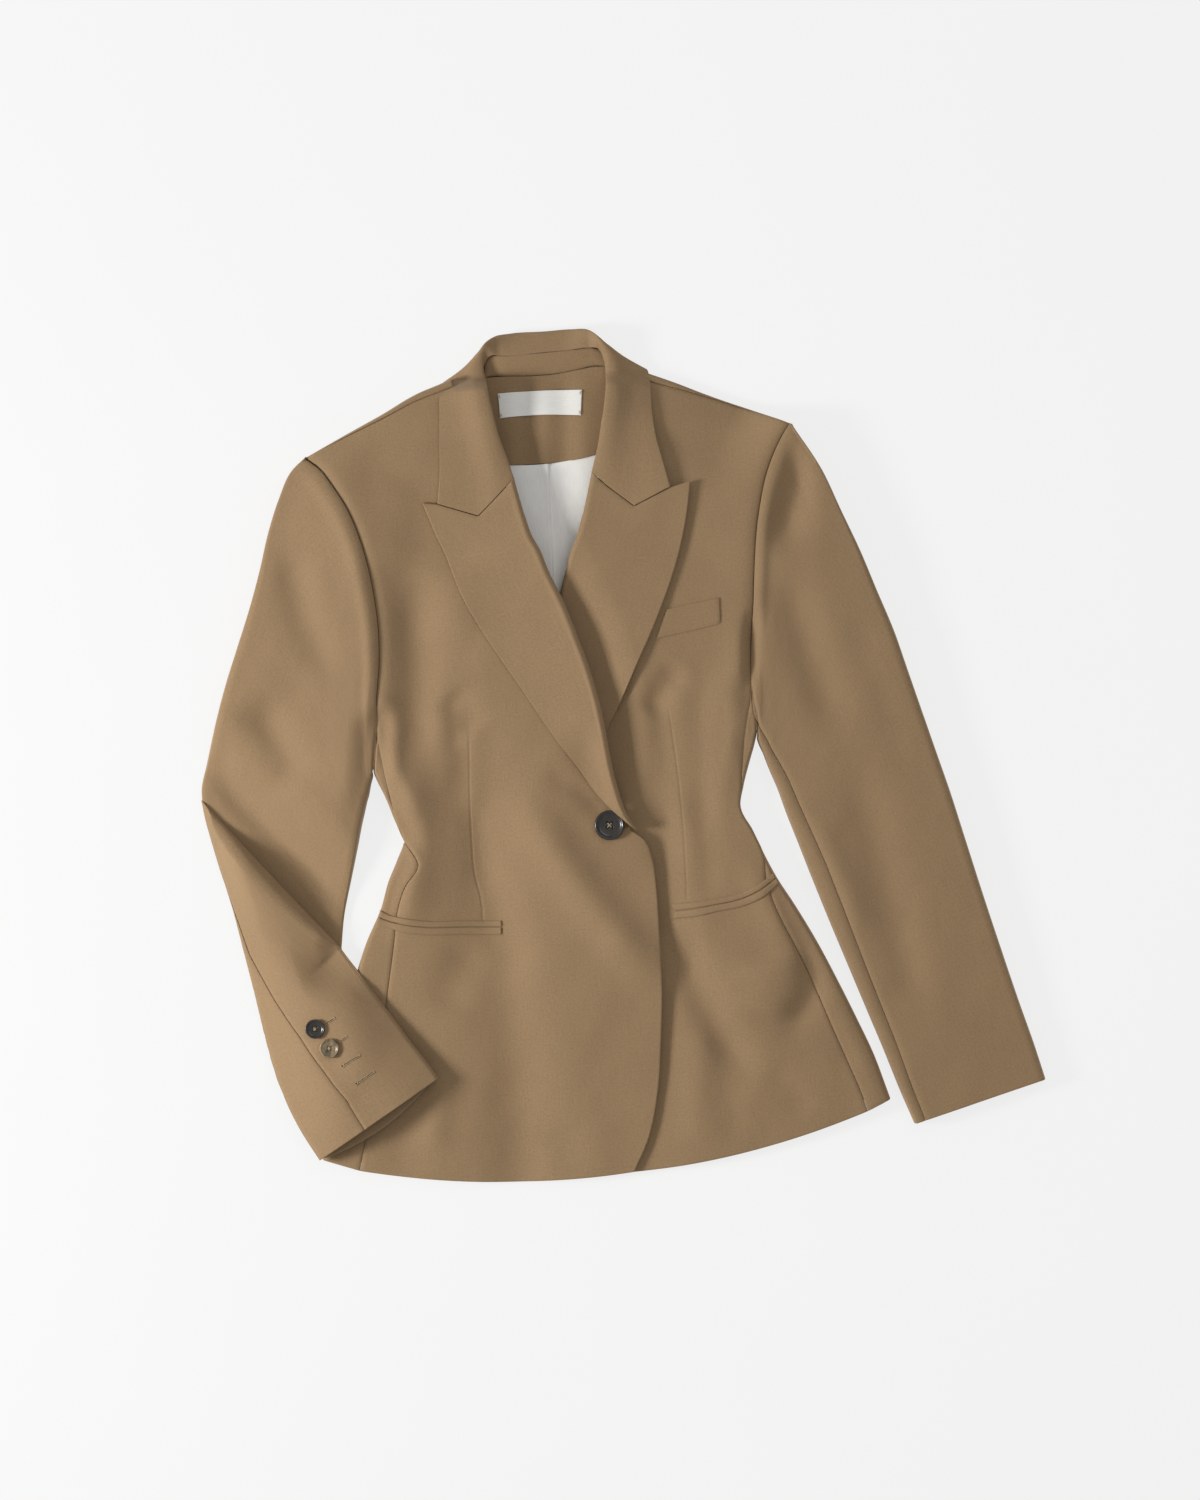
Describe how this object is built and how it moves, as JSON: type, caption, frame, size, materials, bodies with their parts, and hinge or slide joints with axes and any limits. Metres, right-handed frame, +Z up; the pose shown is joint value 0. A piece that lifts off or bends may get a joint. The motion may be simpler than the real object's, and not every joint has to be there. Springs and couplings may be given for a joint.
{
  "type": "single-button blazer laid flat",
  "caption": "Tailored wool blazer laid flat, with peak lapels, one front button, jetted hip pockets, a chest welt and one forearm folded over the front.",
  "frame": {"origin": "centre of the object's box, on the surface that it lies on", "axes": "+Z up from the surface, +Y from the hem to the collar, +X towards the wearer's left"},
  "size_m": [0.7186, 0.7254, 0.0313],
  "materials": {
    "worsted": "fine worsted twill, taupe-beige, soft dry sheen",
    "satin": "ivory satin lining",
    "label": "bare off-white woven tape",
    "horn": "near-black horn, low polish"
  },
  "bodies": {
    "root": {"front_right": "worsted", "front_left": "worsted", "side_right": "worsted", "side_left": "worsted", "back_right": "worsted", "back_left": "worsted", "topsleeve_left": "worsted", "undersleeve_left": "worsted", "topsleeve_right_upper": "worsted", "undersleeve_right_upper": "worsted", "topsleeve_right_fore": "worsted", "undersleeve_right_fore": "worsted", "lapel_right": "worsted", "lapel_left": "worsted", "collar": "worsted", "collar_stand": "worsted", "neck_facing": "worsted", "hip_jet_right_upper": "worsted", "hip_jet_right_lower": "worsted", "hip_jet_left_upper": "worsted", "hip_jet_left_lower": "worsted", "chest_welt": "worsted", "back_lining": "satin", "neck_label": "label", "front_button": "horn", "cuff_button_1": "horn", "cuff_button_2": "horn"}
  },
  "joints": []
}
